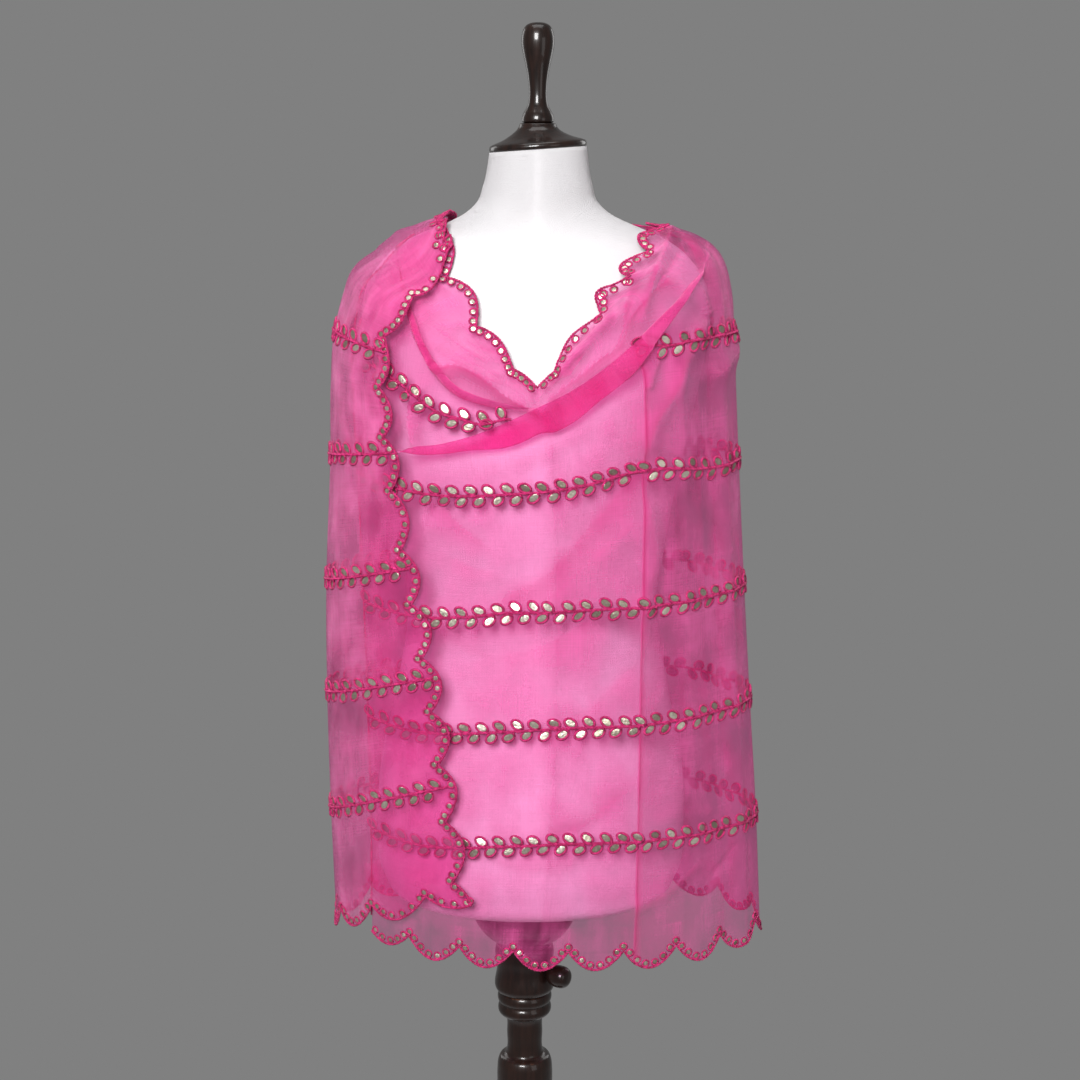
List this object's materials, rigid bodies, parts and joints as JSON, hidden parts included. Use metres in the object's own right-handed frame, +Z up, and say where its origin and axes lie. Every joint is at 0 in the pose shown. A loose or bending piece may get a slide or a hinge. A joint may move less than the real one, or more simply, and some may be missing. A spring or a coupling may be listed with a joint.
{
  "type": "dupatta stole on a dress form stand",
  "caption": "Sheer scalloped stole wound round a limbless linen dress form that slides and turns on a turned wooden stand.",
  "frame": {"origin": "centre of the base's underside, on the axis of the post", "axes": "+Z up; the front of the worn stole faces -Y; +X is the viewer's right"},
  "size_m": [0.4519, 0.36, 1.609],
  "materials": {
    "walnut": "dark walnut stain under gloss lacquer",
    "steel": "plain steel tube",
    "linen": "white linen over padding",
    "organza": "sheer hot-pink silk organza with an embroidered edge"
  },
  "bodies": {
    "stand": {"base": "walnut", "post": "walnut", "collar": "walnut"},
    "knob": {"clamp_knob": "walnut"},
    "mast": {"pole": "steel"},
    "form": {"boss": "walnut", "torso": "linen", "neck_cap": "walnut", "finial": "walnut", "stole_front": "organza", "stole_right": "organza", "stole_back": "organza", "stole_left": "organza", "stole_end": "organza"}
  },
  "joints": [
    {"name": "height_slide", "type": "slide", "parent": "stand", "child": "mast", "axis": [0, 0, 1], "range_m": [0, 0.2]},
    {"name": "form_turn", "type": "hinge", "parent": "mast", "child": "form", "pos_m": [0, 0, 0.7], "axis": [0, 0, 1], "continuous": true},
    {"name": "clamp_screw", "type": "hinge", "parent": "stand", "child": "knob", "pos_m": [0, 0, 0.632], "axis": [0.8192, -0.5736, 0], "range_deg": [0, 720]}
  ]
}
